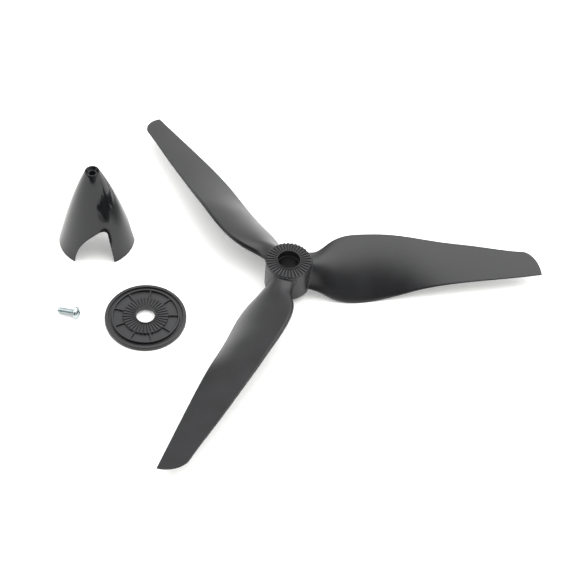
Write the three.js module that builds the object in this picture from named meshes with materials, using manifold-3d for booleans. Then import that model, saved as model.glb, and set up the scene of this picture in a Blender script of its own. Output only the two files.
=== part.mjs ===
// Three-blade propeller set for a radio-controlled aeroplane: a one-piece moulded propeller
// with its spinner cone, backplate and spinner screw, laid out loose on a flat surface.
// Millimetres, +Z up. The propeller lies with its serrated rear face up.

import * as THREE from 'three';
import { mergeVertices } from 'three/addons/utils/BufferGeometryUtils.js';
import Module from 'manifold-3d';

const wasm = await Module();
wasm.setup();

const FULL_TURN = 2 * Math.PI;
const joinGap = 0.3;                  // clearance kept between solids that meet
const overCut = 1;                    // how far a cutter runs past the surface it cuts

// Propeller
const tipRadius = 120.65;             // half of the 241.3 mm (9.5 in) diameter
const bladeCount = 3;
const firstBladeAzimuth = THREE.MathUtils.degToRad(9.5);

// Hub, heights in the propeller's own frame; the whole propeller is set down on the surface last
const hubFrontHeight = 2.9;
const hubToothHeight = 19.7;
const hubCollarHeight = 20.05;
const hubTopRadius = 10.45;
const hubBottomRadius = 10.75;
const hubChamfer = 0.9;
const hubCollarRadius = 5.65;
const boreRadius = 5;
const boreChamfer = 0.4;
const counterboreRadius = 5.25;
const counterboreDepth = 3.6;
const toothCount = 36;
const toothDepth = 0.5;

// Backplate
const plateCentre = new THREE.Vector2(-63.85, -25.4);
const plateRadius = 18.75;
const plateRimHeight = 2.2;
const plateRimWidth = 1.6;
const plateGrooveFloor = 1.15;
const plateGrooveWidth = 1.4;
const plateRingHeight = 2.7;
const plateRingWidth = 0.9;
const plateFloorHeight = 1.45;
const plateDiscRadius = 10.4;
const plateToothHeight = 2.65;
const plateCollarHeight = 2.95;
const plateCollarRadius = 4.85;
const plateHoleRadius = 4.25;
const plateSeatRadius = 6.5;          // seat for the adapter's flange, sunk into the underside
const plateSeatDepth = 1.3;
const plateEdgeRounding = 0.7;
const wallDraft = 0.08;               // how much an upright moulded wall leans over its height
const ribCount = 9;
const ribWidth = 0.8;
const ribHeight = 2.35;
const firstRibAzimuth = THREE.MathUtils.degToRad(7.5);

// Spinner cone
const spinnerCentre = new THREE.Vector2(-92.85, 21.7);
const spinnerBaseRadius = 18.1;
const spinnerHeight = 46.3;
const spinnerNoseRadius = 3.35;
const spinnerShoulder = new THREE.Vector2(10.9, 30);
const spinnerWall = 1.25;
const spinnerNoseWeb = 4.5;
const screwRecessRadius = 2.95;
const screwRecessFloorRadius = 2.25;
const screwRecessDepth = 1.4;
const screwHoleRadius = 1.55;
const firstCutoutAzimuth = THREE.MathUtils.degToRad(274);

// Spinner screw, M3 pan head with a cross recess
const screwCentre = new THREE.Vector2(-100.1, -26.1);
const screwAzimuth = THREE.MathUtils.degToRad(-13);
const screwLength = 8.8;
const screwThreadRadius = 1.5;
const screwRootRadius = 1.24;
const screwPitch = 0.5;
const screwHeadRadius = 2.85;
const screwHeadHeight = 1.95;
const screwHeadBand = 0.6;
const screwCrossLength = 3;
const screwCrossWidth = 0.8;
const screwCrossDepth = 1.1;

// Moulding and plating colours
const nylonMaterial = () => new THREE.MeshStandardMaterial({
  color: 0x2e2f31,
  roughness: 0.45,
  metalness: 0,
});
const glossMaterial = () => new THREE.MeshStandardMaterial({
  color: 0x1d1e20,
  roughness: 0.08,
  metalness: 0,
});
const zincMaterial = () => new THREE.MeshStandardMaterial({
  color: 0xc9d2d3,
  roughness: 0.25,
  metalness: 1,
});

// Manifold solid of a closed geometry, whose faces point out.
function solidOf(geometry) {
  const bare = geometry.clone();
  bare.deleteAttribute('normal');
  bare.deleteAttribute('uv');
  const merged = mergeVertices(bare, 1e-4);
  return new wasm.Manifold(new wasm.Mesh({
    numProp: 3,
    vertProperties: new Float32Array(merged.attributes.position.array),
    triVerts: new Uint32Array(merged.index.array),
  }));
}

function geometryOf(solid) {
  const mesh = solid.getMesh();
  const geometry = new THREE.BufferGeometry();
  geometry.setAttribute('position', new THREE.BufferAttribute(mesh.vertProperties, 3));
  geometry.setIndex(new THREE.BufferAttribute(mesh.triVerts, 1));
  geometry.computeVertexNormals();
  return geometry;
}

function namedMesh(name, geometry, material) {
  const mesh = new THREE.Mesh(geometry, material);
  mesh.name = name;
  return mesh;
}

// Turned solid about +Z from a closed list of [radius, height] points, outer side upwards.
function turned(profile, segments) {
  const points = [...profile, profile[0]].map(([radius, height]) => new THREE.Vector2(radius, height));
  return new THREE.LatheGeometry(points, segments).rotateX(Math.PI / 2);
}

// Turned solid with a ring of radial V-shaped teeth: at every second step round the axis, the
// profile points listed in toothedPoints drop by the depth of a tooth.
function turnedWithTeeth(profile, toothedPoints) {
  const segments = 2 * toothCount;
  const geometry = turned(profile, segments);
  const position = geometry.attributes.position;
  const pointsPerStep = profile.length + 1;
  for (let step = 1; step < segments; step += 2) {
    for (const point of toothedPoints) {
      const vertex = step * pointsPerStep + point;
      position.setZ(vertex, position.getZ(vertex) - toothDepth);
    }
  }
  return geometry;
}

// Hub: a drafted cylinder with a stepped bore. Its rear face has the ring of teeth that locks
// into the backplate, round a smooth collar.
function hubGeometry() {
  const ledge = hubCollarHeight - counterboreDepth;
  const profile = [
    [boreRadius + boreChamfer, hubFrontHeight],
    [hubBottomRadius - hubChamfer, hubFrontHeight],
    [hubBottomRadius, hubFrontHeight + hubChamfer],
    [hubTopRadius, hubToothHeight],
    [hubCollarRadius, hubToothHeight],
    [hubCollarRadius, hubCollarHeight],
    [counterboreRadius, hubCollarHeight],
    [counterboreRadius, ledge],
    [boreRadius, ledge],
    [boreRadius, hubFrontHeight + boreChamfer],
  ];
  return turnedWithTeeth(profile, [3, 4]);
}

// Blade stations, in the blade's own frame: X out along the blade, Y from the leading edge
// towards the trailing edge, Z up. The leading edge is low, so the pressure face looks up.
// The pressure face bulges above the chord line, and lean moves that bulge towards the
// trailing edge. The belly is the depth of the suction face below the chord line, and edge is
// the thickness of the blunt trailing edge. Each row holds
// radius, chord, blade angle in degrees, leadY, leadZ, bulge, lean, belly, edge.
const bladeStations = [
  [8, 17.2, 41.5, -6.6, 6.0, 4.3, 1, 1.9, 2.0],
  [14, 19.4, 36.4, -8.2, 4.6, 4.4, 0.7, 1.6, 2.0],
  [20, 26.3, 36, -10.5, 2.1, 4.2, 0.2, 1.3, 2.0],
  [28, 31.6, 36.2, -12.1, 0.45, 3.8, 0, 1.2, 2.0],
  [36, 32.2, 36.4, -12.1, 0.1, 3.5, 0, 1.2, 1.9],
  [45, 30.7, 35.5, -11.6, 1.3, 2.9, 0, 1.2, 1.7],
  [52, 28.6, 32.9, -11.3, 3.1, 2.0, 0, 1.2, 1.5],
  [60, 25.7, 27.8, -10.9, 5.4, 1.3, 0, 1.1, 1.3],
  [75, 21.2, 20.9, -10.05, 7.5, 0.5, 0, 1.0, 1.0],
  [90, 17.9, 18.9, -9.2, 7.8, 0.25, 0, 0.9, 0.9],
  [112, 13.1, 17.6, -7.95, 7.6, 0.1, 0, 0.6, 0.7],
  [tipRadius, 11.9, 17.3, -7.4, 7.7, 0.1, 0, 0.3, 0.6],
];
const tipCurveStart = 112.8;          // radius where the trailing edge starts to round in
const tipChordLeft = 0.08;            // share of the chord left at the pointed tip
const leadRounding = 0.04;            // share of the chord over which the leading edge is round
const pressureEdgeShare = 0.35;       // of the edge thickness, above the chord line
const sectionSteps = 8;
const spanSteps = 38;

const stationRadii = bladeStations.map(([radius]) => radius);
const stationValues = bladeStations.flatMap(([, chord, angle, ...others]) => [
  chord,
  THREE.MathUtils.degToRad(angle),
  ...others,
]);
const stationCurve = new THREE.CubicInterpolant(
  stationRadii,
  stationValues,
  stationValues.length / stationRadii.length,
);

// Height of an arch over the chord, 0 at both edges and 1 in the middle where it doesn't lean.
function arch(share, lean) {
  return 4 * share * (1 - share) * (1 + lean * (2 * share - 1));
}

// Share of the edge thickness that stands off the chord line on one side, at a share of the
// chord behind the round leading edge. The suction side takes what is left at the back.
function edgeShare(share, side) {
  const beforeFull = 1 - Math.min(1, share / leadRounding);
  const growth = side < 0 ? (1 - 2 * pressureEdgeShare) * share : 0;
  return Math.sqrt(1 - beforeFull ** 2) * (pressureEdgeShare + growth);
}

// Section outline with unit chord: X is the share of the chord, and the sign of Y is the side.
function sectionShape() {
  const shares = [];
  for (let step = 0; step <= sectionSteps; step += 1) {
    shares.push(0.5 - 0.5 * Math.cos(Math.PI * step / sectionSteps));
  }
  const lower = shares.map((share) => new THREE.Vector2(share, -arch(share, 0) - edgeShare(share, -1)));
  const upper = shares.map((share) => new THREE.Vector2(share, arch(share, 0) + edgeShare(share, 1)));
  return new THREE.Shape([...lower, ...upper.slice(1).reverse()]);
}

// Whole blade, from inside the hub to its tip: the section is extruded by one unit, and each
// of its layers then takes the size, blade angle and place of its own station.
function bladeLoft() {
  const geometry = new THREE.ExtrudeGeometry(sectionShape(), {
    depth: 1,
    steps: spanSteps,
    bevelEnabled: false,
  });
  const position = geometry.attributes.position;
  const innerRadius = stationRadii[0];
  for (let vertex = 0; vertex < position.count; vertex += 1) {
    const radius = innerRadius + (tipRadius - innerRadius) * Math.sin(position.getZ(vertex) * Math.PI / 2);
    const [chord, angle, leadY, leadZ, bulge, lean, belly, edge] = stationCurve.evaluate(radius);
    const intoTip = Math.max(0, (radius - tipCurveStart) / (tipRadius - tipCurveStart));
    const chordShare = Math.max(tipChordLeft, Math.sqrt(1 - Math.min(1, intoTip ** 2)));
    const share = position.getX(vertex);
    const side = Math.sign(position.getY(vertex));
    const height = side > 0 ? bulge * arch(share, lean) : belly * arch(share, 0);
    const along = share * chord * chordShare;
    const up = side * (height + edge * edgeShare(share, side)) * Math.sqrt(chordShare);
    position.setXYZ(
      vertex,
      radius,
      leadY + along * Math.cos(angle) - up * Math.sin(angle),
      leadZ + along * Math.sin(angle) + up * Math.cos(angle),
    );
  }
  return geometry;
}

// Blade cut back to the hub's wall.
function bladeGeometry() {
  const cutRadius = hubBottomRadius + joinGap;
  const hubWall = new THREE.CylinderGeometry(cutRadius, cutRadius, 3 * hubToothHeight, 96);
  hubWall.rotateX(Math.PI / 2);
  return geometryOf(solidOf(bladeLoft()).subtract(solidOf(hubWall)));
}

function propellerGroup() {
  const group = new THREE.Group();
  group.add(namedMesh('hub', hubGeometry(), nylonMaterial()));
  for (let blade = 0; blade < bladeCount; blade += 1) {
    const mesh = namedMesh(`blade_${blade + 1}`, bladeGeometry(), nylonMaterial());
    mesh.rotation.z = firstBladeAzimuth + FULL_TURN * blade / bladeCount;
    group.add(mesh);
  }
  return group;
}

// Backplate: a flat disc. From the edge inwards it has the rim and groove that seat the cone,
// a locating ring, a sunk floor with ribs, and the toothed disc that locks into the hub.
function backplateGeometry() {
  const grooveOuter = plateRadius - plateRimWidth;
  const ringOuter = grooveOuter - plateGrooveWidth;
  const ringInner = ringOuter - plateRingWidth;
  const edgeMiddle = plateRimHeight / 2;
  const profile = [
    [plateHoleRadius, plateSeatDepth],
    [plateSeatRadius, plateSeatDepth],
    [plateSeatRadius + wallDraft, 0],
    [plateRadius - plateEdgeRounding, 0],
    [plateRadius - plateEdgeRounding / 4, plateEdgeRounding / 2],
    [plateRadius, edgeMiddle],
    [plateRadius - plateEdgeRounding / 4, plateRimHeight - plateEdgeRounding / 2],
    [plateRadius - plateEdgeRounding, plateRimHeight],
    [grooveOuter + wallDraft, plateRimHeight],
    [grooveOuter, plateGrooveFloor],
    [ringOuter, plateGrooveFloor],
    [ringOuter - wallDraft, plateRingHeight],
    [ringInner + wallDraft, plateRingHeight],
    [ringInner, plateFloorHeight],
    [plateDiscRadius + wallDraft, plateFloorHeight],
    [plateDiscRadius, plateToothHeight],
    [plateCollarRadius, plateToothHeight],
    [plateCollarRadius, plateCollarHeight],
    [plateHoleRadius, plateCollarHeight],
  ];
  const ribLength = ringInner + plateRingWidth / 2 - (plateDiscRadius - plateRingWidth / 2);
  const ribMiddle = (ringInner + plateDiscRadius) / 2;
  const ribBottom = plateFloorHeight / 2;
  let plate = solidOf(turnedWithTeeth(profile, [15, 16]));
  for (let rib = 0; rib < ribCount; rib += 1) {
    const bar = new THREE.BoxGeometry(ribLength, ribWidth, ribHeight - ribBottom);
    bar.translate(ribMiddle, 0, (ribHeight + ribBottom) / 2);
    bar.rotateZ(firstRibAzimuth + FULL_TURN * rib / ribCount);
    plate = plate.add(solidOf(bar));
  }
  return geometryOf(plate);
}

// Outline of a blade cut-out in the cone, seen from outside along the blade: X to the right,
// Y up. It rises steeply beside the leading edge and slopes down to the trailing edge.
function cutoutShape() {
  const shape = new THREE.Shape();
  shape.moveTo(-9.6, -overCut);
  shape.bezierCurveTo(-8.6, 7.8, -4.5, 14, 2.2, 17.8);
  shape.bezierCurveTo(4.2, 18.9, 6, 18.5, 6.6, 16.2);
  shape.lineTo(9.5, -overCut);
  return shape;
}

// Spinner cone: a thin hollow ogive, open at the base, with the screw's recess in its nose and
// a cut-out for each blade.
function spinnerGeometry() {
  const curveSteps = 9;
  const webBottom = spinnerHeight - spinnerNoseWeb;
  const recessFloor = spinnerHeight - screwRecessDepth;
  const outside = new THREE.QuadraticBezierCurve(
    new THREE.Vector2(spinnerBaseRadius, 0),
    spinnerShoulder,
    new THREE.Vector2(spinnerNoseRadius, spinnerHeight),
  ).getPoints(curveSteps).map((point) => [point.x, point.y]);
  const inside = outside
    .filter(([, height]) => height < webBottom - 1)
    .map(([radius, height]) => [radius - spinnerWall, height])
    .reverse();
  const profile = [
    ...outside,
    [screwRecessRadius, spinnerHeight],
    [screwRecessFloorRadius, recessFloor],
    [screwHoleRadius, recessFloor],
    [screwHoleRadius, webBottom],
    [inside[0][0] - spinnerWall, webBottom],
    ...inside,
  ];
  let cone = solidOf(turned(profile, 48));
  for (let cutout = 0; cutout < bladeCount; cutout += 1) {
    const cutter = new THREE.ExtrudeGeometry(cutoutShape(), {
      depth: spinnerBaseRadius + overCut,
      curveSegments: 8,
      bevelEnabled: false,
    });
    cutter.rotateX(Math.PI / 2);
    cutter.rotateZ(firstCutoutAzimuth + Math.PI / 2 + FULL_TURN * cutout / bladeCount);
    cone = cone.subtract(solidOf(cutter));
  }
  return geometryOf(cone);
}

// Screw along +Z from its tip, with its thread as rings, a domed head and a cross recess.
function screwGeometry() {
  const threadStart = 2 * screwPitch;
  const turns = Math.round((screwLength - threadStart) / screwPitch) - 1;
  const top = screwLength + screwHeadHeight;
  const profile = [
    [0, 0],
    [screwRootRadius - screwPitch / 2, 0],
    [screwRootRadius, screwPitch],
  ];
  for (let turn = 0; turn < turns; turn += 1) {
    profile.push([screwThreadRadius, threadStart + turn * screwPitch]);
    profile.push([screwRootRadius, threadStart + (turn + 0.5) * screwPitch]);
  }
  profile.push(
    [screwRootRadius, screwLength],
    [screwHeadRadius - wallDraft, screwLength],
    [screwHeadRadius, screwLength + screwHeadBand],
  );
  const dome = new THREE.QuadraticBezierCurve(
    new THREE.Vector2(screwHeadRadius, screwLength + screwHeadBand),
    new THREE.Vector2(0.8 * screwHeadRadius, top),
    new THREE.Vector2(0, top),
  );
  dome.getPoints(5).slice(1).forEach((point) => profile.push([point.x, point.y]));
  const points = profile.map(([radius, height]) => new THREE.Vector2(radius, height));
  let screw = solidOf(new THREE.LatheGeometry(points, 16).rotateX(Math.PI / 2));
  for (const quarterTurn of [0, Math.PI / 2]) {
    const slot = new THREE.BoxGeometry(screwCrossLength, screwCrossWidth, screwCrossDepth + overCut);
    slot.translate(0, 0, top + (overCut - screwCrossDepth) / 2);
    slot.rotateZ(quarterTurn);
    screw = screw.subtract(solidOf(slot));
  }
  return geometryOf(screw);
}

// Lowest point of a group or mesh, on which it rests.
function lowestPoint(object) {
  return new THREE.Box3().setFromObject(object, true).min.z;
}

// The screw lies on its thread's tip and on the rim of its head.
function restingScrew() {
  const mesh = namedMesh('screw', screwGeometry().translate(0, 0, -screwLength / 2), zincMaterial());
  const tilt = Math.asin((screwHeadRadius - screwThreadRadius) / screwLength);
  mesh.rotation.set(0, Math.PI / 2 - tilt, screwAzimuth, 'ZYX');
  mesh.position.set(screwCentre.x, screwCentre.y, 0);
  mesh.position.z = -lowestPoint(mesh);
  return mesh;
}

const propeller = propellerGroup();
propeller.position.z = -lowestPoint(propeller);

const backplate = namedMesh('backplate', backplateGeometry(), nylonMaterial());
backplate.position.set(plateCentre.x, plateCentre.y, 0);

const spinner = namedMesh('spinner_cone', spinnerGeometry(), glossMaterial());
spinner.position.set(spinnerCentre.x, spinnerCentre.y, 0);

const propellerSet = new THREE.Group();
propellerSet.add(propeller, backplate, spinner, restingScrew());

// The origin is below the middle of the whole layout, on the surface.
const middle = new THREE.Box3().setFromObject(propellerSet, true).getCenter(new THREE.Vector3());
propellerSet.position.set(-middle.x, -middle.y, 0);
propellerSet.updateMatrixWorld(true);

export default propellerSet;
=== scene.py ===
import math

import bmesh
import bpy
import numpy as np
from mathutils import Matrix, Vector


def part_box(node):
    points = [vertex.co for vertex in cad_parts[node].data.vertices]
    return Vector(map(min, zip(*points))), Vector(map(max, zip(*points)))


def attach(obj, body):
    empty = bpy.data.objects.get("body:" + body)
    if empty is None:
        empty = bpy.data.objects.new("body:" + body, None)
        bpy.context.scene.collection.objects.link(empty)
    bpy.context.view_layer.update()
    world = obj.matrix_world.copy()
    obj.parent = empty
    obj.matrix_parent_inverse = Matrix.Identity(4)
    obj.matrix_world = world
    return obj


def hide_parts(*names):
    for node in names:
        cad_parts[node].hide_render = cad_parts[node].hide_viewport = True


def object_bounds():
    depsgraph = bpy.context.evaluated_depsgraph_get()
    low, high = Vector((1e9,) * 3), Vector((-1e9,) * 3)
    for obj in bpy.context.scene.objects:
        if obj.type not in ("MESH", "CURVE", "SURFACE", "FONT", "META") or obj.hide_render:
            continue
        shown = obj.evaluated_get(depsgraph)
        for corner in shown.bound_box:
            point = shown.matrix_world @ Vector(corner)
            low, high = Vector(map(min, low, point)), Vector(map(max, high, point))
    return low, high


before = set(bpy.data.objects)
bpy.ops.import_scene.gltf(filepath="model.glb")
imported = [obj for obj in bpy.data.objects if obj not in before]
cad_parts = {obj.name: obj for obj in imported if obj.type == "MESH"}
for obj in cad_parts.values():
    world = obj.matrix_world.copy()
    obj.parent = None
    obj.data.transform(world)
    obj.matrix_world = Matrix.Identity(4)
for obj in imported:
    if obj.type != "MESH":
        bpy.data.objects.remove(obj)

cad_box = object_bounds()

# ---------------------------------------------------------------------------------------
# Propeller. One injection moulding of black glass-filled nylon: a short cylindrical hub
# with a ring of locking teeth on its rear face, and three twisted blades that flow out of
# its wall. It lies on the leading edges of its blades, rear face up.
# ---------------------------------------------------------------------------------------
MM = 0.001
BLADE_COUNT = 3
TIP_RADIUS = 120.65
FIRST_BLADE_AZIMUTH = math.radians(9.5)

hub_low, hub_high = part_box("hub")
hub_axis = (hub_low + hub_high) / 2
hub_front = hub_low.z / MM
hub_collar_top = hub_high.z / MM
COLLAR_STEP = 0.35
HUB_FRONT_HEIGHT = 2.9
hub_tooth_top = hub_collar_top - COLLAR_STEP
settled = hub_front - HUB_FRONT_HEIGHT
HUB_WALL_RADIUS = 10.75
HUB_RING_RADIUS = 10.45
HUB_COLLAR_RADIUS = 5.65
HUB_STEP_DROP = 1.1
COUNTERBORE_RADIUS = 5.25
COUNTERBORE_DEPTH = 3.6
BORE_RADIUS = 5.0
TOOTH_COUNT = 36
TOOTH_DEPTH = 0.5
COLUMNS_PER_TOOTH = 16


def rounded_outline(corners, steps=5):
    """Closed outline through (x, y, rounding) corners, each corner turned into an arc."""
    points = []
    count = len(corners)
    for index, (x, y, rounding) in enumerate(corners):
        corner = np.array([x, y], float)
        before = np.array(corners[index - 1][:2], float) - corner
        after = np.array(corners[(index + 1) % count][:2], float) - corner
        before_length, after_length = np.linalg.norm(before), np.linalg.norm(after)
        before, after = before / before_length, after / after_length
        half_angle = math.acos(np.clip(before @ after, -1, 1)) / 2
        if rounding == 0 or half_angle > math.radians(89):
            points.append(corner)
            continue
        reach = min(rounding / math.tan(half_angle), 0.45 * before_length, 0.45 * after_length)
        radius = reach * math.tan(half_angle)
        middle = (before + after) / np.linalg.norm(before + after)
        centre = corner + middle * radius / math.sin(half_angle)
        start, end = corner + before * reach - centre, corner + after * reach - centre
        for share in np.linspace(0, 1, steps):
            turn = start * (1 - share) + end * share
            points.append(centre + turn / np.linalg.norm(turn) * radius)
    return np.array(points)


def subdivided(outline, longest):
    """The outline with extra points, so that no side is longer than the length given."""
    points = []
    for start, end in zip(outline, np.roll(outline, -1, axis=0)):
        pieces = max(1, math.ceil(np.linalg.norm(end - start) / longest))
        points += [start + (end - start) * piece / pieces for piece in range(pieces)]
    return np.array(points)


def grid_faces(rows, columns, rows_close, columns_close):
    """Quads of a grid of points, whose rows or columns may close into a ring."""
    faces = []
    for row in range(rows if rows_close else rows - 1):
        next_row = (row + 1) % rows
        for column in range(columns if columns_close else columns - 1):
            next_column = (column + 1) % columns
            faces.append((
                row * columns + column,
                row * columns + next_column,
                next_row * columns + next_column,
                next_row * columns + column,
            ))
    return faces


def mesh_object(name, points, faces):
    """A mesh object from points in millimetres, in the frame's own axes."""
    mesh = bpy.data.meshes.new(name)
    mesh.from_pydata((np.asarray(points).reshape(-1, 3) * MM).tolist(), [], faces)
    mesh.validate()
    made = bpy.data.objects.new(name, mesh)
    bpy.context.scene.collection.objects.link(made)
    return made


def turned(outline, azimuths):
    """Points of a closed outline (radius, height) turned about the Z axis: [azimuth, point]."""
    radius, height = outline[:, 0], outline[:, 1]
    return np.stack([
        np.cos(azimuths)[:, None] * radius,
        np.sin(azimuths)[:, None] * radius,
        np.ones(len(azimuths))[:, None] * height,
    ], axis=-1)


def turned_by(points, angle):
    """The points turned about the Z axis by an angle."""
    cos, sin = math.cos(angle), math.sin(angle)
    return np.stack([
        points[..., 0] * cos - points[..., 1] * sin,
        points[..., 0] * sin + points[..., 1] * cos,
        points[..., 2],
    ], axis=-1)


def smooth_step(low, high, value):
    """0 below low, 1 above high and a smooth rise between them."""
    share = np.clip((value - low) / (high - low), 0, 1)
    return share * share * (3 - 2 * share)


def toothed(points, azimuths, tooth_top, collar_radius):
    """Sinks the grooves between the teeth into the top of a turned shape."""
    pitch_share = azimuths / (2 * math.pi) * TOOTH_COUNT
    off_groove = np.abs(pitch_share - np.round(pitch_share))
    groove = 1 - smooth_step(0.07, 0.27, off_groove)
    radius = np.hypot(points[..., 0], points[..., 1])
    height = points[..., 2]
    foot = tooth_top - 2 * TOOTH_DEPTH
    cut = (radius > collar_radius - 0.01) & (height > foot) & (height < tooth_top + 0.01)
    squeezed = foot + (height - foot) * (1 - TOOTH_DEPTH * groove[:, None] / (tooth_top - foot))
    points[..., 2] = np.where(cut, squeezed, height)
    return points


def with_modifier(target, kind, **settings):
    """Applies one modifier to an object's mesh."""
    modifier = target.modifiers.new(kind.lower(), kind)
    for setting, value in settings.items():
        setattr(modifier, setting, value)
    bpy.context.view_layer.update()
    evaluated = target.evaluated_get(bpy.context.evaluated_depsgraph_get())
    result = bpy.data.meshes.new_from_object(evaluated)
    target.modifiers.clear()
    target.data = result
    return target


def joined_or_cut(target, tool, operation):
    """Boolean join or cut of target with tool, which is used up."""
    with_modifier(target, "BOOLEAN", operation=operation, object=tool, solver="EXACT")
    bpy.data.objects.remove(tool)
    return target


def smooth_shaded(target, sharpest=35):
    """Shades a mesh smooth, apart from edges that turn by more than the angle given."""
    target.data.shade_smooth()
    target.data.set_sharp_from_angle(angle=math.radians(sharpest))
    return target


hub_outline = subdivided(rounded_outline([
    (BORE_RADIUS, hub_front, 0.35),
    (HUB_WALL_RADIUS, hub_front, 0.9),
    (HUB_WALL_RADIUS - 0.15, hub_tooth_top - HUB_STEP_DROP, 0.3),
    (HUB_RING_RADIUS, hub_tooth_top - HUB_STEP_DROP + 0.25, 0.2),
    (HUB_RING_RADIUS, hub_tooth_top, 0.12),
    (HUB_COLLAR_RADIUS, hub_tooth_top, 0),
    (HUB_COLLAR_RADIUS, hub_collar_top, 0.15),
    (COUNTERBORE_RADIUS, hub_collar_top, 0.2),
    (COUNTERBORE_RADIUS, hub_collar_top - COUNTERBORE_DEPTH, 0.1),
    (BORE_RADIUS, hub_collar_top - COUNTERBORE_DEPTH, 0.15),
]), 0.8)
hub_azimuths = np.linspace(0, 2 * math.pi, TOOTH_COUNT * COLUMNS_PER_TOOTH, endpoint=False)
hub_points = toothed(turned(hub_outline, hub_azimuths), hub_azimuths, hub_tooth_top, HUB_COLLAR_RADIUS)
propeller = mesh_object(
    "propeller_moulding",
    hub_points,
    grid_faces(len(hub_azimuths), len(hub_outline), True, True),
)

# Blade stations: radius, chord, blade angle in degrees, the leading edge's place across the
# blade and above the surface, the pressure face's bulge above the chord line and how far it
# leans to the trailing edge, the suction face's belly, and the trailing edge's thickness.
STATIONS = np.array([
    (8, 17.2, 41.5, -6.6, 6.0, 4.3, 1.0, 1.9, 2.0),
    (14, 19.4, 36.4, -8.2, 4.6, 4.4, 0.7, 1.6, 2.0),
    (20, 26.3, 36.0, -10.5, 2.1, 4.2, 0.2, 1.3, 2.0),
    (28, 31.6, 36.2, -12.1, 0.45, 3.8, 0, 1.2, 2.0),
    (36, 32.2, 36.4, -12.1, 0.1, 3.5, 0, 1.2, 1.9),
    (45, 30.7, 35.5, -11.6, 1.3, 2.9, 0, 1.2, 1.7),
    (52, 28.6, 32.9, -11.3, 3.1, 2.0, 0, 1.2, 1.5),
    (60, 25.7, 27.8, -10.9, 5.4, 1.3, 0, 1.1, 1.3),
    (75, 21.2, 20.9, -10.05, 7.5, 0.5, 0, 1.0, 1.0),
    (90, 17.9, 18.9, -9.2, 7.8, 0.25, 0, 0.9, 0.9),
    (112, 13.1, 17.6, -7.95, 7.6, 0.1, 0, 0.6, 0.7),
    (TIP_RADIUS, 11.9, 17.3, -7.4, 7.7, 0.1, 0, 0.3, 0.6),
])
TIP_CURVE_START = 112.8
TIP_CHORD_LEFT = 0.06
LEAD_ROUNDING = 0.04
TRAIL_ROUNDING = 0.012
PRESSURE_EDGE_SHARE = 0.35
ROOT_FILLET = 0.7


def smooth_through(knots, values, at):
    """Natural cubic spline through the values at the knots, for each column of values."""
    step = np.diff(knots)
    count = len(knots)
    matrix, right = np.eye(count), np.zeros_like(values)
    for k in range(1, count - 1):
        matrix[k, k - 1:k + 2] = step[k - 1], 2 * (step[k - 1] + step[k]), step[k]
        slope_before = (values[k] - values[k - 1]) / step[k - 1]
        slope_after = (values[k + 1] - values[k]) / step[k]
        right[k] = 6 * (slope_after - slope_before)
    bend = np.linalg.solve(matrix, right)
    k = np.clip(np.searchsorted(knots, at) - 1, 0, count - 2)
    after, before = (at - knots[k])[..., None], (knots[k + 1] - at)[..., None]
    width = step[k][..., None]
    return (
        (bend[k] * before ** 3 + bend[k + 1] * after ** 3) / (6 * width)
        + (values[k] / width - bend[k] * width / 6) * before
        + (values[k + 1] / width - bend[k + 1] * width / 6) * after
    )


def section_loop(steps):
    """Blade section points: chord share, side (+1 is the pressure face), edge thickness share."""
    share = 0.5 - 0.5 * np.cos(np.linspace(0, math.pi, steps))
    to_full = np.minimum(share / LEAD_ROUNDING, (1 - share) / TRAIL_ROUNDING)
    rounded = np.sqrt(1 - (1 - np.clip(to_full, 0, 1)) ** 2)
    below = PRESSURE_EDGE_SHARE + (1 - 2 * PRESSURE_EDGE_SHARE) * share
    upper = np.stack([share, np.ones(steps), rounded * PRESSURE_EDGE_SHARE], axis=-1)
    lower = np.stack([share, -np.ones(steps), rounded * below], axis=-1)
    return np.concatenate([upper, lower[::-1][1:-1]])


def blade_points(reaches, loop):
    """Blade surface [reach, loop point]. Near the hub, a row runs round the hub's axis."""
    reach = reaches[:, None] * np.ones(len(loop))
    around_axis = 1 - smooth_step(14, 26, reach)
    share, side, edge_share = loop.T
    radius = reach.copy()
    for _ in range(30):
        chord, angle, lead_across, lead_height, bulge, lean, belly, edge = np.moveaxis(
            smooth_through(STATIONS[:, 0], STATIONS[:, 1:], radius), -1, 0)
        angle = np.radians(angle)
        into_tip = np.clip((radius - TIP_CURVE_START) / (TIP_RADIUS - TIP_CURVE_START), 0, 1)
        chord_share = np.maximum(TIP_CHORD_LEFT, np.sqrt(1 - into_tip ** 2))
        arch = 4 * share * (1 - share)
        body = np.where(side > 0, bulge * arch * (1 + lean * (2 * share - 1)), belly * arch)
        along = share * chord * chord_share
        up = side * (body + edge * edge_share) * np.sqrt(chord_share)
        across = lead_across + along * np.cos(angle) - up * np.sin(angle)
        height = lead_height + settled + along * np.sin(angle) + up * np.cos(angle)
        wanted = np.sqrt(np.maximum(reach ** 2 - around_axis * across ** 2, (0.2 * reach) ** 2))
        radius = 0.5 * radius + 0.5 * np.where(around_axis > 0, wanted, reach)
    return np.stack([radius, across, height], axis=-1)


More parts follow.
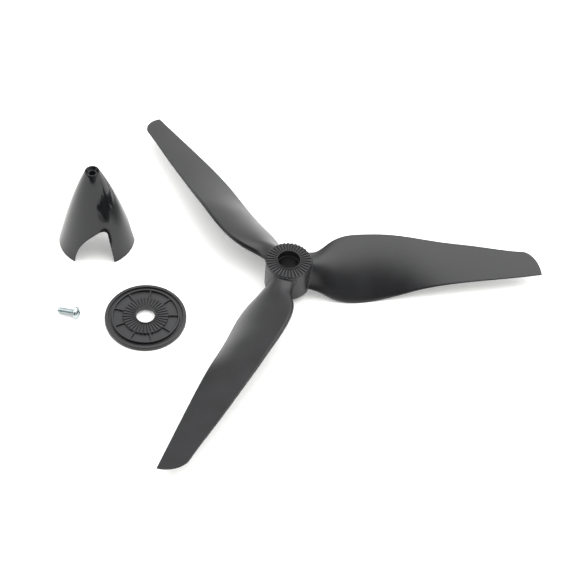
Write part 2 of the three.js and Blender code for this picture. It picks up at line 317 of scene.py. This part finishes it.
def blade_mesh(name, azimuth):
    """One blade, with the fillet into the hub's wall."""
    loop = section_loop(44)
    reaches = np.concatenate([
        np.linspace(9.4, 14.4, 64),
        np.linspace(14.6, 26, 36),
        np.linspace(26.6, TIP_CURVE_START, 120),
        TIP_CURVE_START + (TIP_RADIUS - TIP_CURVE_START) * np.sin(np.linspace(0.05, math.pi / 2, 26)),
    ])
    points = blade_points(reaches, loop)
    side_step = np.roll(points, -1, axis=1) - np.roll(points, 1, axis=1)
    outward = np.stack([-side_step[..., 2], side_step[..., 1]], axis=-1)
    outward /= np.maximum(np.linalg.norm(outward, axis=-1, keepdims=True), 1e-9)
    from_axis = np.hypot(points[..., 0], points[..., 1])
    to_wall = np.clip(from_axis - HUB_WALL_RADIUS, 0, ROOT_FILLET)
    flare = ROOT_FILLET - np.sqrt(ROOT_FILLET ** 2 - (ROOT_FILLET - to_wall) ** 2)
    points[..., 1] += flare * outward[..., 0]
    points[..., 2] += flare * outward[..., 1]
    rows, columns = len(reaches), len(loop)
    faces = grid_faces(rows, columns, False, True)
    faces.append(tuple(range(columns - 1, -1, -1)))
    faces.append(tuple((rows - 1) * columns + column for column in range(columns)))
    return mesh_object(name, turned_by(points, azimuth), faces)


def facing_out(target):
    """Turns a closed mesh's faces outwards."""
    mesh = bmesh.new()
    mesh.from_mesh(target.data)
    bmesh.ops.recalc_face_normals(mesh, faces=mesh.faces)
    mesh.to_mesh(target.data)
    mesh.free()
    return target


facing_out(propeller)
for blade in range(BLADE_COUNT):
    azimuth = FIRST_BLADE_AZIMUTH + 2 * math.pi * blade / BLADE_COUNT
    made = facing_out(blade_mesh("blade", azimuth))
    joined_or_cut(propeller, made, "UNION")
propeller.data.transform(Matrix.Translation((hub_axis.x, hub_axis.y, 0)))
smooth_shaded(propeller)


def linear(hex_colour):
    """An sRGB hex colour as linear red, green, blue and alpha."""
    values = [int(hex_colour[place:place + 2], 16) / 255 for place in (1, 3, 5)]
    lit = [value / 12.92 if value <= 0.04045 else ((value + 0.055) / 1.055) ** 2.4 for value in values]
    return (*lit, 1.0)


def add_node(tree, kind, settings=None, links=None):
    """Adds a node. A setting names an attribute or an input socket, and a link fills a socket."""
    made = tree.nodes.new("ShaderNode" + kind)
    for name, value in (settings or {}).items():
        if name in made.inputs:
            made.inputs[name].default_value = value
        else:
            setattr(made, name, value)
    for name, source in (links or {}).items():
        tree.links.new(source, made.inputs[name])
    return made


def new_material(name):
    """A material with an empty node tree, and its output node."""
    material = bpy.data.materials.new(name)
    material.use_nodes = True
    material.node_tree.nodes.clear()
    return material, material.node_tree, add_node(material.node_tree, "OutputMaterial")


# Black glass-filled nylon 6, moulded in a spark-eroded tool: a satin skin with a fine grain,
# faint flow streaks from the gate, and edges and teeth slightly greyed by handling.
GRAIN_WIDTH = 0.45 * MM
FLOW_WIDTH = 9 * MM
SCUFF_LENGTH = 3.5 * MM


def moulded_nylon(name, base_hex, worn_hex, roughness):
    material, tree, output = new_material(name)
    place = add_node(tree, "TexCoord").outputs["Object"]
    flow = add_node(tree, "TexNoise", {"Scale": 1 / FLOW_WIDTH, "Detail": 4.0, "Roughness": 0.6},
                    {"Vector": place})
    grain = add_node(tree, "TexNoise", {"Scale": 1 / GRAIN_WIDTH, "Detail": 2.0}, {"Vector": place})
    scuff_place = add_node(tree, "Mapping", {"Rotation": (0.3, 0.2, 0.7), "Scale": (1, 9, 1)},
                           {"Vector": place})
    scuff = add_node(tree, "TexNoise", {"Scale": 1 / SCUFF_LENGTH, "Detail": 5.0, "Roughness": 0.7},
                     {"Vector": scuff_place.outputs["Vector"]})
    scuffed = add_node(tree, "MapRange", {"From Min": 0.62, "From Max": 0.78, "To Max": 0.5},
                       {"Value": scuff.outputs["Fac"]})
    edges = add_node(tree, "NewGeometry").outputs["Pointiness"]
    worn = add_node(tree, "MapRange", {"From Min": 0.52, "From Max": 0.6, "To Max": 0.6}, {"Value": edges})
    marks = add_node(tree, "Math", {"operation": "MAXIMUM"},
                     {0: scuffed.outputs["Result"], 1: worn.outputs["Result"]})
    tone = add_node(tree, "MapRange", {"From Min": 0.3, "From Max": 0.7, "To Min": 0.0, "To Max": 0.35},
                    {"Value": flow.outputs["Fac"]})
    whole = add_node(tree, "Math", {"operation": "ADD", "use_clamp": True},
                     {0: marks.outputs["Value"], 1: tone.outputs["Result"]})
    colour = add_node(tree, "Mix", {"data_type": "RGBA"})
    tree.links.new(whole.outputs["Value"], colour.inputs[0])
    colour.inputs[6].default_value = linear(base_hex)
    colour.inputs[7].default_value = linear(worn_hex)
    rough = add_node(tree, "MapRange", {"To Min": roughness - 0.05, "To Max": roughness + 0.08},
                     {"Value": flow.outputs["Fac"]})
    bump = add_node(tree, "Bump", {"Strength": 0.25, "Distance": 0.02 * MM}, {"Height": grain.outputs["Fac"]})
    shader = add_node(tree, "BsdfPrincipled", {"IOR": 1.53, "Specular IOR Level": 0.385, "Metallic": 0.0}, {
        "Base Color": colour.outputs[2],
        "Roughness": rough.outputs["Result"],
        "Normal": bump.outputs["Normal"],
    })
    tree.links.new(shader.outputs["BSDF"], output.inputs["Surface"])
    return material


blade_nylon = moulded_nylon("moulded_glass_filled_nylon", "#111113", "#232427", 0.34)
propeller.data.materials.clear()
propeller.data.materials.append(blade_nylon)
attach(propeller, "propeller")
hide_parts("hub", "blade_1", "blade_2", "blade_3")

# ---------------------------------------------------------------------------------------
# Backplate. A disc moulded in the same black nylon. Its rim and groove seat the cone's edge,
# nine low ribs stiffen its sunk floor, and its toothed disc locks into the hub.
# ---------------------------------------------------------------------------------------
plate_low, plate_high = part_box("backplate")
plate_axis = (plate_low + plate_high) / 2
PLATE_RADIUS = (plate_high.x - plate_low.x) / 2 / MM
PLATE_TOP = plate_high.z / MM
RIM_HEIGHT = 2.2
RIM_INNER = PLATE_RADIUS - 1.6
GROOVE_FLOOR = 1.15
RING_OUTER = RIM_INNER - 1.4
RING_INNER = RING_OUTER - 0.9
RING_HEIGHT = 2.7
SUNK_FLOOR = 1.45
DISC_RADIUS = 10.4
PLATE_TOOTH_TOP = PLATE_TOP - 0.3
PLATE_COLLAR_RADIUS = 4.85
PLATE_HOLE_RADIUS = 4.25
PLATE_SEAT_RADIUS = 6.5
PLATE_SEAT_DEPTH = 1.3
RIB_COUNT = 9
RIB_WIDTH = 0.8
RIB_HEIGHT = 2.35
FIRST_RIB_AZIMUTH = math.radians(7.5)

plate_outline = subdivided(rounded_outline([
    (PLATE_HOLE_RADIUS, PLATE_SEAT_DEPTH, 0.12),
    (PLATE_SEAT_RADIUS, PLATE_SEAT_DEPTH, 0.1),
    (PLATE_SEAT_RADIUS + 0.08, 0, 0.2),
    (PLATE_RADIUS, 0, 0.35),
    (PLATE_RADIUS, RIM_HEIGHT, 0.6),
    (RIM_INNER, RIM_HEIGHT, 0.15),
    (RIM_INNER - 0.05, GROOVE_FLOOR, 0.1),
    (RING_OUTER + 0.05, GROOVE_FLOOR, 0.1),
    (RING_OUTER, RING_HEIGHT, 0.25),
    (RING_INNER, RING_HEIGHT, 0.25),
    (RING_INNER - 0.1, SUNK_FLOOR, 0.2),
    (DISC_RADIUS + 0.1, SUNK_FLOOR, 0.2),
    (DISC_RADIUS, PLATE_TOOTH_TOP, 0.12),
    (PLATE_COLLAR_RADIUS, PLATE_TOOTH_TOP, 0),
    (PLATE_COLLAR_RADIUS, PLATE_TOP, 0.12),
    (PLATE_HOLE_RADIUS, PLATE_TOP, 0.15),
]), 0.35)
plate_azimuths = np.linspace(0, 2 * math.pi, TOOTH_COUNT * 24, endpoint=False)
plate_points = turned(plate_outline, plate_azimuths)
plate_radius = np.hypot(plate_points[..., 0], plate_points[..., 1])
inside_disc = plate_radius < DISC_RADIUS + 0.05
teeth_points = toothed(plate_points.copy(), plate_azimuths, PLATE_TOOTH_TOP, PLATE_COLLAR_RADIUS)
plate_points[..., 2] = np.where(inside_disc, teeth_points[..., 2], plate_points[..., 2])
rib_turn = 2 * math.pi / RIB_COUNT
off_rib = (plate_azimuths - FIRST_RIB_AZIMUTH + rib_turn / 2) % rib_turn - rib_turn / 2
beside_rib = np.abs(off_rib)[:, None] * plate_radius
rib_share = 1 - smooth_step(RIB_WIDTH / 2 - 0.12, RIB_WIDTH / 2 + 0.12, beside_rib)
rib_share *= (plate_radius > DISC_RADIUS + 0.02) & (plate_radius < RING_INNER - 0.02)
on_floor = (plate_points[..., 2] > SUNK_FLOOR - 0.01) & (plate_points[..., 2] < RIB_HEIGHT)
raised = plate_points[..., 2] + (RIB_HEIGHT - plate_points[..., 2]) * rib_share
plate_points[..., 2] = np.where(on_floor, raised, plate_points[..., 2])
backplate = mesh_object(
    "backplate_moulding",
    plate_points,
    grid_faces(len(plate_azimuths), len(plate_outline), True, True),
)
facing_out(backplate)
backplate.data.transform(Matrix.Translation((plate_axis.x, plate_axis.y, 0)))
smooth_shaded(backplate)
plate_nylon = moulded_nylon("moulded_glass_filled_nylon_plate", "#161618", "#2b2c2f", 0.36)
backplate.data.materials.append(plate_nylon)
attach(backplate, "backplate")
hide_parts("backplate")

# ---------------------------------------------------------------------------------------
# Spinner cone. A thin shell moulded in ABS in a polished tool, open at its base, with a
# cut-out for each blade. The nose has a recess for the screw's head.
# ---------------------------------------------------------------------------------------
cone_low, cone_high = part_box("spinner_cone")
CONE_FROM_HUB = Vector((-92.85, 21.7, 0)) * MM
CONE_AXIS = Vector((hub_axis.x, hub_axis.y, 0)) + CONE_FROM_HUB
CONE_HEIGHT = cone_high.z / MM
CONE_BASE_RADIUS = 18.1
CONE_NOSE_RADIUS = 3.35
CONE_SHOULDER = (10.9, 30)
CONE_WALL = 1.25
NOSE_WEB = 4.5
RECESS_RADIUS = 2.95
RECESS_FLOOR_RADIUS = 2.25
RECESS_DEPTH = 1.4
SCREW_HOLE_RADIUS = 1.55
FIRST_CUTOUT_AZIMUTH = math.radians(274)


def quadratic_curve(start, control, end, steps):
    """Points of a quadratic curve, both ends included."""
    share = np.linspace(0, 1, steps)[:, None]
    start, control, end = np.array(start, float), np.array(control, float), np.array(end, float)
    return (1 - share) ** 2 * start + 2 * share * (1 - share) * control + share ** 2 * end


def cubic_curve(start, first, second, end, steps):
    """Points of a cubic curve, both ends included."""
    share = np.linspace(0, 1, steps)[:, None]
    start, first, second, end = (np.array(point, float) for point in (start, first, second, end))
    return (
        (1 - share) ** 3 * start + 3 * share * (1 - share) ** 2 * first
        + 3 * share ** 2 * (1 - share) * second + share ** 3 * end
    )


cone_outside = quadratic_curve((CONE_BASE_RADIUS, 0), CONE_SHOULDER, (CONE_NOSE_RADIUS, CONE_HEIGHT), 70)
web_bottom = CONE_HEIGHT - NOSE_WEB
recess_floor = CONE_HEIGHT - RECESS_DEPTH
cone_inside = cone_outside[cone_outside[:, 1] < web_bottom - 1] - np.array([CONE_WALL, 0])
cone_outline = np.concatenate([
    cone_outside[:-1],
    np.array([
        (CONE_NOSE_RADIUS + 0.03, CONE_HEIGHT - 0.12),
        (CONE_NOSE_RADIUS - 0.08, CONE_HEIGHT - 0.01),
        (RECESS_RADIUS + 0.08, CONE_HEIGHT),
        (RECESS_RADIUS, CONE_HEIGHT - 0.08),
        (RECESS_FLOOR_RADIUS, recess_floor + 0.1),
        (RECESS_FLOOR_RADIUS - 0.1, recess_floor),
        (SCREW_HOLE_RADIUS + 0.12, recess_floor),
        (SCREW_HOLE_RADIUS, recess_floor - 0.12),
        (SCREW_HOLE_RADIUS, web_bottom),
        (cone_inside[-1, 0] - 0.8, web_bottom),
    ]),
    cone_inside[::-1],
])
cone_azimuths = np.linspace(0, 2 * math.pi, 288, endpoint=False)
cone = mesh_object(
    "spinner_shell",
    turned(cone_outline, cone_azimuths),
    grid_faces(len(cone_azimuths), len(cone_outline), True, True),
)
facing_out(cone)


def cutout_cutter(azimuth):
    """Prism through one side of the cone, with the outline of a blade's cut-out."""
    rise = cubic_curve((-9.6, -1), (-8.6, 7.8), (-4.5, 14), (2.2, 17.8), 30)
    crown = cubic_curve((2.2, 17.8), (4.2, 18.9), (6, 18.5), (6.6, 16.2), 20)
    outline = np.concatenate([rise, crown[1:], np.array([(9.5, -1)])])
    rows = []
    for reach in (0.0, CONE_BASE_RADIUS + 2):
        rows.append([(reach, across, height) for across, height in outline])
    count = len(outline)
    faces = grid_faces(2, count, False, True)
    faces += [tuple(range(count)), tuple(range(2 * count - 1, count - 1, -1))]
    return facing_out(mesh_object("cutter", turned_by(np.array(rows), azimuth), faces))


for cutout in range(BLADE_COUNT):
    azimuth = FIRST_CUTOUT_AZIMUTH + 2 * math.pi * cutout / BLADE_COUNT
    joined_or_cut(cone, cutout_cutter(azimuth), "DIFFERENCE")
cone.data.transform(Matrix.Translation(CONE_AXIS))
smooth_shaded(cone, 30)


# Gloss black ABS from a mirror-polished tool: deep, even reflections, very faint waviness
# of the wall, and a few hairline scratches and dust specks from handling.
WAVE_WIDTH = 14 * MM
HAIRLINE_SPACING = 1.1 * MM


def polished_abs(name, base_hex, dust_hex):
    material, tree, output = new_material(name)
    place = add_node(tree, "TexCoord").outputs["Object"]
    wave = add_node(tree, "TexNoise", {"Scale": 1 / WAVE_WIDTH, "Detail": 1.0}, {"Vector": place})
    hair_place = add_node(tree, "Mapping", {"Rotation": (0.5, 0.9, 0.2), "Scale": (1, 1, 14)},
                          {"Vector": place})
    hair = add_node(tree, "TexNoise", {"Scale": 0.06 / HAIRLINE_SPACING, "Detail": 8.0, "Roughness": 0.75},
                    {"Vector": hair_place.outputs["Vector"]})
    haze = add_node(tree, "MapRange", {"From Min": 0.5, "From Max": 0.72, "To Min": 0.07, "To Max": 0.2},
                    {"Value": hair.outputs["Fac"]})
    dust = add_node(tree, "TexVoronoi", {"Scale": 1 / (2.2 * MM)}, {"Vector": place})
    speck = add_node(tree, "MapRange", {"From Min": 0.035, "From Max": 0.02, "To Max": 0.35},
                     {"Value": dust.outputs["Distance"]})
    colour = add_node(tree, "Mix", {"data_type": "RGBA"})
    tree.links.new(speck.outputs["Result"], colour.inputs[0])
    colour.inputs[6].default_value = linear(base_hex)
    colour.inputs[7].default_value = linear(dust_hex)
    bump = add_node(tree, "Bump", {"Strength": 0.12, "Distance": 0.15 * MM}, {"Height": wave.outputs["Fac"]})
    shader = add_node(tree, "BsdfPrincipled", {"IOR": 1.54, "Specular IOR Level": 0.385, "Metallic": 0.0}, {
        "Base Color": colour.outputs[2],
        "Roughness": haze.outputs["Result"],
        "Normal": bump.outputs["Normal"],
    })
    tree.links.new(shader.outputs["BSDF"], output.inputs["Surface"])
    return material


cone.data.materials.clear()
cone.data.materials.append(polished_abs("polished_black_abs", "#17181a", "#6a6a68"))
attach(cone, "spinner")
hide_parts("spinner_cone")

# ---------------------------------------------------------------------------------------
# Spinner screw. An M3 pan-head machine screw of zinc-plated steel: the thread is rolled
# and the cross recess is punched. It lies on the tip of its thread and the rim of its head.
# ---------------------------------------------------------------------------------------
screw_low, screw_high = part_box("screw")
SCREW_LENGTH = 8.8
THREAD_RADIUS = 1.5
THREAD_ROOT = 1.24
THREAD_PITCH = 0.5
HEAD_RADIUS = 2.85
HEAD_HEIGHT = 1.95
HEAD_BAND = 0.6
CROSS_LENGTH = 3.0
CROSS_WIDTH = 0.8
CROSS_DEPTH = 1.1
SCREW_AZIMUTH = math.radians(-13)

screw_azimuths = np.linspace(0, 2 * math.pi, 64, endpoint=False)
shank_heights = np.linspace(0.35, SCREW_LENGTH - 0.25, 200)
turn_share = shank_heights[None, :] / THREAD_PITCH - screw_azimuths[:, None] / (2 * math.pi)
crest = np.abs(2 * (turn_share - np.floor(turn_share)) - 1)
crest = smooth_step(0.12, 0.88, crest)
below_head = smooth_step(SCREW_LENGTH - 1.0, SCREW_LENGTH - 0.3, shank_heights)
run_in = smooth_step(0.2, 1.2, shank_heights) * (1 - below_head)
shank_radius = THREAD_ROOT + (THREAD_RADIUS - THREAD_ROOT) * crest * run_in
head_curve = quadratic_curve(
    (HEAD_RADIUS, SCREW_LENGTH + HEAD_BAND),
    (0.8 * HEAD_RADIUS, SCREW_LENGTH + HEAD_HEIGHT),
    (0.04, SCREW_LENGTH + HEAD_HEIGHT),
    24,
)
head_profile = np.concatenate([
    np.array([
        (THREAD_ROOT, SCREW_LENGTH - 0.1),
        (THREAD_ROOT + 0.12, SCREW_LENGTH),
        (HEAD_RADIUS - 0.25, SCREW_LENGTH),
        (HEAD_RADIUS - 0.07, SCREW_LENGTH + 0.07),
        (HEAD_RADIUS, SCREW_LENGTH + 0.25),
    ]),
    head_curve,
])
tip_profile = np.array([(0.04, 0), (THREAD_ROOT - 0.35, 0), (THREAD_ROOT - 0.15, 0.1), (THREAD_ROOT, 0.3)])
column_count = len(screw_azimuths)
radii = np.concatenate([
    np.tile(tip_profile[:, 0], (column_count, 1)),
    shank_radius,
    np.tile(head_profile[:, 0], (column_count, 1)),
], axis=1)
heights = np.concatenate([tip_profile[:, 1], shank_heights, head_profile[:, 1]])
screw_points = np.stack([
    radii * np.cos(screw_azimuths)[:, None],
    radii * np.sin(screw_azimuths)[:, None],
    np.tile(heights, (column_count, 1)),
], axis=-1)
row_length = len(heights)
screw_faces = grid_faces(column_count, row_length, True, False)
screw_faces.append(tuple(column * row_length for column in range(column_count)))
head_end = [column * row_length + row_length - 1 for column in range(column_count)]
screw_faces.append(tuple(reversed(head_end)))
screw = facing_out(mesh_object("screw_body", screw_points, screw_faces))


def cross_arm(turn):
    """One bar of the cross recess, tapered to its bottom."""
    top = SCREW_LENGTH + HEAD_HEIGHT + 0.2
    bottom = SCREW_LENGTH + HEAD_HEIGHT - CROSS_DEPTH
    rows = []
    for height, shrink in ((bottom, 0.45), (top, 1.0)):
        x, y = CROSS_LENGTH / 2 * shrink, CROSS_WIDTH / 2 * (0.5 + 0.5 * shrink)
        rows.append([(-x, -y, height), (x, -y, height), (x, y, height), (-x, y, height)])
    faces = grid_faces(2, 4, False, True) + [(3, 2, 1, 0), (4, 5, 6, 7)]
    return facing_out(mesh_object("cross_arm", turned_by(np.array(rows), turn), faces))


for turn in (0, math.pi / 2):
    joined_or_cut(screw, cross_arm(turn), "DIFFERENCE")
screw_tilt = math.asin((HEAD_RADIUS - THREAD_RADIUS) / SCREW_LENGTH)
lying = Matrix.Rotation(SCREW_AZIMUTH, 4, "Z") @ Matrix.Rotation(math.pi / 2 - screw_tilt, 4, "Y")
screw.data.transform(lying @ Matrix.Translation((0, 0, -SCREW_LENGTH / 2 * MM)))
placed = np.array([vertex.co for vertex in screw.data.vertices])
screw_middle = (screw_low + screw_high) / 2
made_middle = (placed.min(axis=0) + placed.max(axis=0)) / 2
screw.data.transform(Matrix.Translation((
    screw_middle.x - made_middle[0],
    screw_middle.y - made_middle[1],
    screw_low.z - placed[:, 2].min(),
)))
smooth_shaded(screw, 40)


# Bright zinc plating on steel: a thin, slightly blue metal skin, softly mottled by the
# plating's crystals.
CRYSTAL_WIDTH = 0.5 * MM


def zinc_plating(name, bright_hex, grey_hex):
    material, tree, output = new_material(name)
    place = add_node(tree, "TexCoord").outputs["Object"]
    crystals = add_node(tree, "TexNoise", {"Scale": 1 / CRYSTAL_WIDTH, "Detail": 3.0}, {"Vector": place})
    colour = add_node(tree, "Mix", {"data_type": "RGBA"})
    tree.links.new(crystals.outputs["Fac"], colour.inputs[0])
    colour.inputs[6].default_value = linear(bright_hex)
    colour.inputs[7].default_value = linear(grey_hex)
    rough = add_node(tree, "MapRange", {"To Min": 0.16, "To Max": 0.34}, {"Value": crystals.outputs["Fac"]})
    bump = add_node(tree, "Bump", {"Strength": 0.15, "Distance": 0.02 * MM},
                    {"Height": crystals.outputs["Fac"]})
    shader = add_node(tree, "BsdfPrincipled", {"Metallic": 1.0}, {
        "Base Color": colour.outputs[2],
        "Roughness": rough.outputs["Result"],
        "Normal": bump.outputs["Normal"],
    })
    tree.links.new(shader.outputs["BSDF"], output.inputs["Surface"])
    return material


screw.data.materials.clear()
screw.data.materials.append(zinc_plating("bright_zinc_plated_steel", "#c3cccd", "#98a3a5"))
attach(screw, "screw")
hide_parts("screw")

# ---------------------------------------------------------------------------------------
# Studio. A seamless white table in a white light tent, and a long lens looking down at the
# layout.
# ---------------------------------------------------------------------------------------
TABLE_HALF = 3000
TABLE_CLEARANCE = 0.02 * MM
table_corners = [(-1, -1, 0), (1, -1, 0), (1, 1, 0), (-1, 1, 0)]
table_top = mesh_object("white_table", np.array(table_corners) * TABLE_HALF, [(0, 1, 2, 3)])
table_top.location.z = cad_box[0].z - TABLE_CLEARANCE

# White seamless background paper, matt with a faint fibre. It glows a little, which lightens
# the shadows under the set.
PAPER_FIBRE = 0.8 * MM
paper, paper_tree, paper_output = new_material("white_seamless_paper")
paper_place = add_node(paper_tree, "TexCoord").outputs["Object"]
paper_fibre = add_node(paper_tree, "TexNoise", {"Scale": 1 / PAPER_FIBRE, "Detail": 3.0},
                       {"Vector": paper_place})
paper_bump = add_node(paper_tree, "Bump", {"Strength": 0.03, "Distance": 0.02 * MM},
                      {"Height": paper_fibre.outputs["Fac"]})
paper_shader = add_node(paper_tree, "BsdfPrincipled", {
    "Base Color": linear("#f7f7f5"),
    "Roughness": 0.9,
    "Emission Color": linear("#ffffff"),
    "Emission Strength": 0.2,
}, {"Normal": paper_bump.outputs["Normal"]})
paper_tree.links.new(paper_shader.outputs["BSDF"], paper_output.inputs["Surface"])
table_top.data.materials.append(paper)

# The light tent is brightest overhead and at its upper left, white behind and to the right of
# the table, and dark towards the camera. A glow is at its full strength where a direction's
# dot product with the glow's own direction reaches From Max, and gone where it is From Min.
OVERHEAD = (0.3, 0.15, 0.942)
BACK_RIGHT = (0.5, 0.87, 0.0)
UPPER_LEFT = (-0.75, -0.05, 0.66)
world = bpy.data.worlds.new("light_tent")
world.use_nodes = True
tent = world.node_tree
direction = add_node(tent, "TexCoord").outputs["Generated"]
above = add_node(tent, "VectorMath", {"operation": "DOT_PRODUCT"}, {0: direction})
above.inputs[1].default_value = OVERHEAD
behind = add_node(tent, "VectorMath", {"operation": "DOT_PRODUCT"}, {0: direction})
behind.inputs[1].default_value = BACK_RIGHT
top_glow = add_node(tent, "MapRange", {
    "interpolation_type": "SMOOTHSTEP", "From Min": 0.68, "From Max": 1.0, "To Min": 0.0, "To Max": 3.0,
}, {"Value": above.outputs["Value"]})
leftward = add_node(tent, "VectorMath", {"operation": "DOT_PRODUCT"}, {0: direction})
leftward.inputs[1].default_value = UPPER_LEFT
left_glow = add_node(tent, "MapRange", {
    "interpolation_type": "SMOOTHSTEP", "From Min": 0.76, "From Max": 1.0, "To Min": 0.0, "To Max": 2.4,
}, {"Value": leftward.outputs["Value"]})
wall_glow = add_node(tent, "MapRange", {"From Min": -0.9, "From Max": 1.0, "To Min": 0.0, "To Max": 1.6},
                     {"Value": behind.outputs["Value"]})
top_and_left = add_node(tent, "Math", {"operation": "ADD"},
                        {0: top_glow.outputs["Result"], 1: left_glow.outputs["Result"]})
glow = add_node(tent, "Math", {"operation": "ADD"},
                {0: top_and_left.outputs["Value"], 1: wall_glow.outputs["Result"]})
tent.nodes["Background"].inputs["Color"].default_value = (1.0, 1.0, 1.0, 1.0)
tent.links.new(glow.outputs["Value"], tent.nodes["Background"].inputs["Strength"])
bpy.context.scene.world = world

# The camera's place is measured from the hub's axis, at the height of the table.
CAMERA_PLACE = Vector((-0.0009, -0.4469, 0.5438 + settled * MM))
CAMERA_ELEVATION = math.radians(50.52)
CAMERA_ROLL = math.radians(4.31)
LENS = 94.1
SENSOR_WIDTH = 36
camera_data = bpy.data.cameras.new("camera")
camera_data.lens = LENS
camera_data.sensor_width = SENSOR_WIDTH
camera = bpy.data.objects.new("camera", camera_data)
aim = Matrix.Rotation(math.pi / 2 - CAMERA_ELEVATION, 4, "X") @ Matrix.Rotation(CAMERA_ROLL, 4, "Z")
above_hub = Matrix.Translation((hub_axis.x, hub_axis.y, 0))
camera.matrix_world = above_hub @ Matrix.Translation(CAMERA_PLACE) @ aim
bpy.context.scene.collection.objects.link(camera)
bpy.context.scene.camera = camera
bpy.context.scene.view_settings.view_transform = "Standard"
